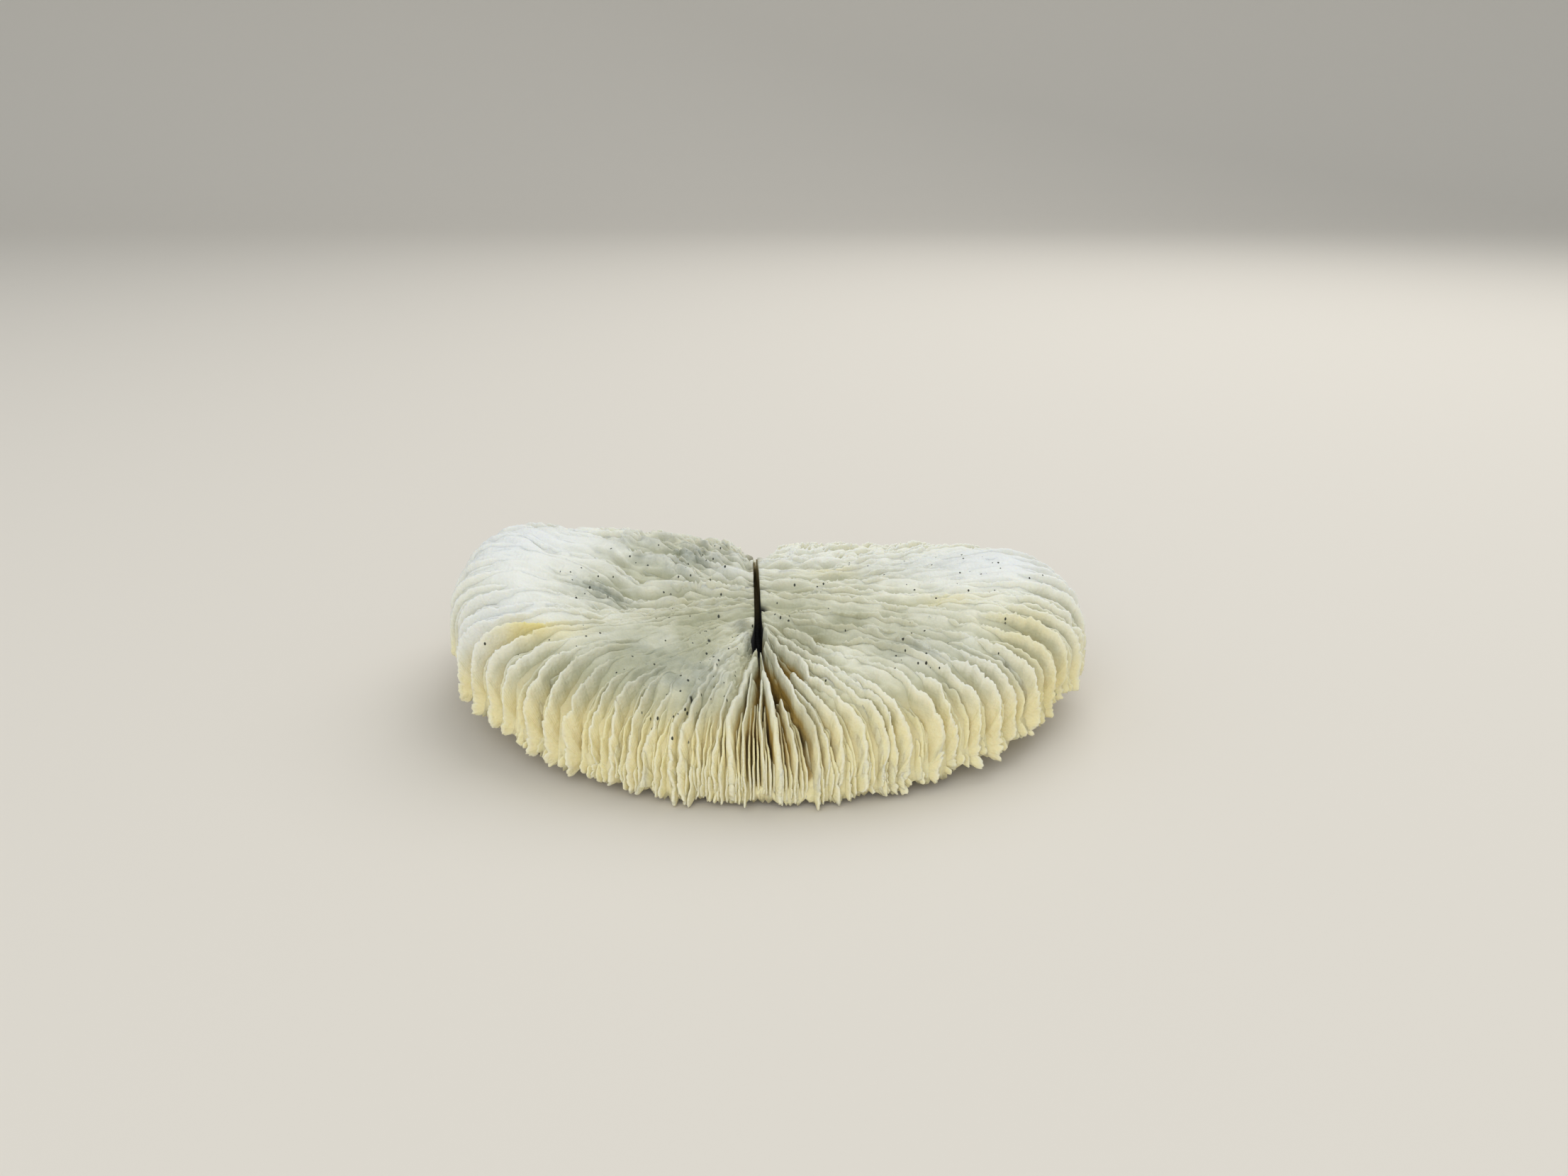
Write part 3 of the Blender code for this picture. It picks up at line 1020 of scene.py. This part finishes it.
@dataclass
class Septa:
    """All plates of the skeleton, in eighths.

    The plates of the fan stand out. Each has its angle in degrees, how much further back than
    usual it leaves the slit, its start, its lift and its girth; lengths are in millimetres.
    """

    form: CoralForm
    cycles: int = 20
    front_crowding: float = 0.75
    back_crowding: float = 0.4
    crowding_reach: float = 0.55
    jitter_major: float = 0.6
    jitter_minor: float = 0.25
    seed: int = 40
    fan_plates: Rows = (
        (263.6, -2.5, 0, 0.4, 1.6), (273.1, -5, 0.08, 0.7, 1.5), (280.3, 0.3, 0, 0.5, 1),
        (284.8, 1.8, 0.35, 0.1, 1.1), (289.4, 3, 0, 0.4, 1.2), (293.5, 3, 0.3, 0, 1),
        (298, 0, 0.08, 0.3, 1.2), (305, 1, 0.12, 0.2, 1.2), (252, 3, 0.03, 0, 1.2),
    )
    made: list[Plate] = field(default_factory=list)

    def angles(self) -> Array:
        """Spread the plates round the disc, closer together at the front and back.

        Returns:
            Their angles.
        """
        count = self.cycles * 16
        fine = np.linspace(0.0, TAU, 4001)
        density = (1.0 + self.front_crowding * bell(fine, FRONT, self.crowding_reach)
                   + self.back_crowding * bell(fine, BACK, self.crowding_reach))
        sums = np.concatenate([[0.0], np.cumsum((density[1:] + density[:-1]) / 2)])
        chance = np.random.default_rng(self.seed)
        jitter = np.where(np.arange(count) % 4 == 0, self.jitter_major, self.jitter_minor)
        wanted = np.arange(count) + chance.uniform(-1.0, 1.0, count) * jitter
        return np.interp((wanted % count) / count * sums[-1], sums, fine)

    @staticmethod
    def order(i: int) -> PlateOrder:
        """Return the order of the plate at one place in the round of sixteen."""
        return next(order for every, order in zip((16, 8, 4, 2, 1), PlateOrder) if i % every == 0)

    def plates(self) -> list[Plate]:
        """Make the plates, in rounds of sixteen from one of the first order to the next.

        Returns:
            The plates.
        """
        chance = np.random.default_rng(self.seed + 5)
        for i, angle in enumerate(self.angles()):
            lift = chance.normal(0.0, 0.3) * MM
            girth = chance.uniform(0.85, 1.15)
            self.made.append(Plate(self.form, self.order(i), float(angle), self.seed + 10 * i,
                                   lift=lift, girth=girth))
        self.place_fan([plate for plate in self.made if plate.order.value.full()])
        return self.made

    def place_fan(self, majors: list[Plate]) -> None:
        """Turn the tall plates nearest the front into those of the fan.

        Args:
            majors: The plates that reach full height.
        """
        for turned, inset, start, lift, girth in self.fan_plates:
            wanted = math.radians(turned)
            nearest = min(majors, key=lambda plate: abs(plate.angle - wanted))
            majors.remove(nearest)
            nearest.order, nearest.angle, nearest.inset = PlateOrder.FIRST, wanted, inset * MM
            nearest.start, nearest.lift, nearest.girth = start, lift * MM, girth
        for plate in majors:
            if abs(plate.angle - self.form.clear_middle) < self.form.clear_reach:
                plate.order = PlateOrder.THIRD

    def build(self, material: Material) -> None:
        """Build one piece for each eighth of the disc.

        Args:
            material: Material of the plates.
        """
        plates = self.plates()
        for sector in Sector:
            shape = new_shape()
            for plate in plates:
                if Sector.of(plate.angle) is sector:
                    wrap(shape, *plate.points())
            finish_piece(shape, f"plates_{sector.name.lower()}", material)


@dataclass
class BasePlate:
    """The arched body that the plates stand on and that fills the gaps between them."""

    form: CoralForm
    rings: int = 64
    under_rings: int = 22
    wall_rings: int = 5
    seed: int = 7
    ridge: float = 0.8
    ridge_drop: float = 2.0 * MM
    slope_slit: float = 3.4 * MM
    slope_rim: float = 5.0 * MM
    slope_columns: int = 24
    slope_power: float = 1.4
    pitch_slit: float = 0.23 * MM
    pitch_rim: float = 0.6 * MM
    lumps: float = 0.9 * MM
    least_depth: float = 0.05 * MM
    wall_side: float = 0.972
    wall_front: float = 0.965
    flute: float = 0.006
    foot_gap: tuple[float, float] = (0.1, 1.3)
    rib: float = 0.8 * MM
    rib_columns: int = 4
    rib_shade: float = 4.0 * MM
    slit_shade: float = 12.0 * MM
    wall_shade: float = 2.0 * MM
    under_shade: float = 1.0 * MM
    run: float = 50.0 * MM

    def leaning(self, near: Array, angle: Array, share: Array) -> Array:
        """Let the ridges fall off gently to the front and steeply to the back.

        Args:
            near: How high the ridge is, by row and column, 0 to 1.
            angle: Angle of each column.
            share: Share of the way out of each row.

        Returns:
            The ridges with their slopes.
        """
        pitch = mix(self.pitch_slit, self.pitch_rim, share)[:, None]
        slope = mix(self.slope_slit, self.slope_rim, share)[:, None]
        found = near
        for k in range(1, self.slope_columns + 1):
            before, after = np.roll(near, -k, axis=1), np.roll(near, k, axis=1)
            moved = np.where(np.cos(angle) > 0.0, before, after)
            fall = np.clip(k * pitch / slope, 0.0, 1.0) ** self.slope_power
            found = np.maximum(found, moved * (1.0 - fall))
        return 0.7 * found + 0.15 * (np.roll(found, 1, axis=1) + np.roll(found, -1, axis=1))

    def fill(self, plates: list[Plate], angle: Array, share: Array) -> tuple[Array, Array]:
        """Work out the surface that fills the gaps, which rises to the plates.

        Args:
            plates: The plates in order round the disc; every second column stands at one.
            angle: Angle of each column.
            share: Share of the way out of each row.

        Returns:
            Points by row and column, and their depths below the crests.
        """
        points = np.empty((len(share), len(angle), 3))
        depth = np.empty(points.shape[:2])
        near = np.zeros(points.shape[:2])
        for i, turn in enumerate(angle):
            points[:, i] = self.form.crest_line(float(turn), step_of(share))
            depth[:, i] = self.form.gap_depth(share, points[:, i, 0], points[:, i, 1])
            if i % 2 == 0:
                drop = plates[i // 2].drop(points[:, i], share)
                near[:, i] = np.clip(1.0 - drop / self.ridge_drop, 0.0, 1.0)
        near = self.leaning(near, angle, share)
        depth = depth * (1.0 - self.ridge * near * (1.0 - smooth(0.7, 0.9, share))[:, None])
        lumps = np.random.default_rng(self.seed).normal(0.0, 1.0, depth.shape)
        lumps = lumps * (1.0 + 2.0 * self.form.rough(points[:, :, 0], points[:, :, 1]))
        for axis in (0, 0, 0, 1):
            beside = np.roll(lumps, 1, axis=axis) + np.roll(lumps, -1, axis=axis)
            lumps = 0.5 * lumps + 0.25 * beside
        depth = np.maximum(depth + self.lumps * lumps, self.least_depth)
        floor = self.form.underside(angle[None, :], share[:, None]) + self.form.base_thickness
        points[:, :, 2] = np.maximum(points[:, :, 2] - depth, floor)
        return points, depth

    def lower(self, angle: Array, top: Array, below: Array, wave: Array) -> Array:
        """Work out the outer wall behind the plates and the ribbed hollow under the body.

        Args:
            angle: Angle of each column.
            top: Height of each column where the wall begins.
            below: Share of the way out of each row of the hollow.
            wave: How far each column stands out as a rib, 0 to 1.

        Returns:
            Points by row and column, from the wall's top to the middle of the hollow.
        """
        form, down = self.form, np.linspace(0.0, 1.0, self.wall_rings + 1)[1:, None]
        foot = np.random.default_rng(self.seed).uniform(*self.foot_gap, len(angle)) * MM
        side = mix(self.wall_side, self.wall_front, smooth(0.6, 0.9, -np.sin(angle)))
        side = side + self.flute * np.where(np.arange(len(angle)) % 2 == 0, 1.0, -1.0)
        under = np.repeat(below[:, None], len(angle), axis=1)
        share = np.concatenate([mix(form.foot_share, side, down), under])
        turned = form.wandered(angle, share)
        x, y = form.plan_point(turned, share)
        wall = mix(top, form.lower_edge(angle) + foot, down)
        arch = form.underside(turned[self.wall_rings:], under) - self.rib * wave * under
        return np.stack([x, y, np.concatenate([wall, arch])], axis=-1)

    def build(self, plates: list[Plate], material: Material) -> None:
        """Wrap a grid round the body, from the slit over the rim to the scar below.

        Args:
            plates: The plates in order round the disc.
            material: Material of the body.
        """
        form = self.form
        own = np.array([plate.angle for plate in plates])
        after = np.concatenate([own[1:], own[:1] + TAU])
        angle = np.stack([own, (own + after) / 2], axis=-1).ravel()
        top = np.linspace(0.0, 1.0, self.rings) * form.foot_share
        below = np.linspace(1.0, 0.0, self.under_rings) * form.foot_share
        wave = 0.5 + 0.5 * np.cos(np.arange(len(angle)) * TAU / self.rib_columns)
        surface, depth = self.fill(plates, angle, top)
        inside = surface[:1].copy()
        inside[:, :, 2] = form.underside(angle, np.zeros(angle.shape)) + form.base_thickness
        lower = self.lower(angle, surface[-1, :, 2], below, wave)
        between = self.rib_shade * (1.0 - wave)[None, :] * (below / form.foot_share)[:, None]
        depth = np.concatenate([
            np.full((1, len(angle)), self.slit_shade), depth,
            np.full((self.wall_rings, len(angle)), self.wall_shade), self.under_shade + between,
        ])
        along = np.concatenate([[0.0], top, np.ones(self.wall_rings + self.under_rings)]) * self.run
        shape = new_shape()
        wrap(shape, np.concatenate([inside, surface, lower]), depth,
             np.repeat(along[:, None], len(angle), axis=1))
        bmesh.ops.holes_fill(shape, edges=[edge for edge in shape.edges if edge.is_boundary])
        bmesh.ops.triangulate(shape, faces=[face for face in shape.faces if len(face.verts) > 4])
        finish_piece(shape, "base_plate", material)


@dataclass(frozen=True)
class Lamp:
    """A square soft lamp that faces the coral: its place, the length of its side and its watts."""

    name: str
    place: Vector3
    side: float
    power: float

    def build(self) -> None:
        """Hang the lamp."""
        lamp = bpy.data.lights.new(self.name, "AREA")
        lamp.size = self.side
        lamp.energy = self.power
        holder = bpy.data.objects.new(self.name, lamp)
        holder.location = self.place
        holder.rotation_euler = Vector(self.place).to_track_quat("Z", "Y").to_euler()
        bpy.context.scene.collection.objects.link(holder)


@dataclass
class Studio:
    """Camera, floor and light, in metres, degrees and the photo's pixels."""

    camera_place: Vector3 = (3.3 * MM, -222.05 * MM, 107.0 * MM)
    camera_pitch: float = 21.1
    focal_pixels: float = 1680.0
    sensor_width: float = 36.0
    clip_start: float = 0.01
    floor_half: float = 3.0
    floor_rows: int = 60
    floor_bend: float = 1.2
    floor_radius: float = 0.6
    floor_roughness: float = 0.9
    floor_colour: str = "#D9D2C6"
    sky_colour: str = "#E6ECF2"
    sky_strength: float = 0.68
    lamps: tuple[Lamp, ...] = (
        Lamp("window", (0.35, 0.5, 0.8), 0.9, 5.2),
        Lamp("fill", (-0.15, -0.85, 0.5), 1.1, 5.0),
    )

    def build(self) -> None:
        """Make the camera, the floor, the lamps and the sky."""
        scene = bpy.context.scene
        camera = bpy.data.cameras.new("camera")
        camera.sensor_width = self.sensor_width
        camera.lens = camera.sensor_width * self.focal_pixels / PHOTO_WIDTH
        camera.clip_start = self.clip_start
        holder = bpy.data.objects.new("camera", camera)
        holder.location = self.camera_place
        holder.rotation_euler = (math.radians(90.0 - self.camera_pitch), 0.0, 0.0)
        scene.collection.objects.link(holder)
        scene.camera = holder
        self.build_floor()
        for lamp in self.lamps:
            lamp.build()
        world = bpy.data.worlds.new("sky")
        world.use_nodes = True
        sky = world.node_tree.nodes["Background"]
        sky.inputs["Color"].default_value = linear(self.sky_colour)
        sky.inputs["Strength"].default_value = self.sky_strength
        scene.world = world
        scene.view_settings.view_transform = "Standard"

    def build_floor(self) -> None:
        """Lay a plain pale floor that bends up far behind the coral."""
        shape = bmesh.new()
        made = bmesh.ops.create_grid(
            shape, x_segments=2, y_segments=self.floor_rows, size=self.floor_half)["verts"]
        for corner in made:
            behind = corner.co.y - self.floor_bend
            if behind > 0.0:
                turn = min(behind / self.floor_radius, math.pi / 2)
                beyond = behind - self.floor_radius * turn
                corner.co.y = self.floor_bend + self.floor_radius * math.sin(turn)
                corner.co.z = self.floor_radius * (1.0 - math.cos(turn)) + beyond
        material = bpy.data.materials.new("floor_pale")
        material.use_nodes = True
        shader = material.node_tree.nodes["Principled BSDF"]
        shader.inputs["Base Color"].default_value = linear(self.floor_colour)
        shader.inputs["Roughness"].default_value = self.floor_roughness
        stand(shape, "floor", material)


def main() -> None:
    """Build the coral and the studio."""
    logging.basicConfig(level=logging.INFO, stream=sys.stdout)
    form = CoralForm()
    material = Finish().build()
    septa = Septa(form)
    septa.build(material)
    BasePlate(form).build(sorted(septa.made, key=lambda plate: plate.angle), material)
    Studio().build()


if __name__ == "__main__":
    main()
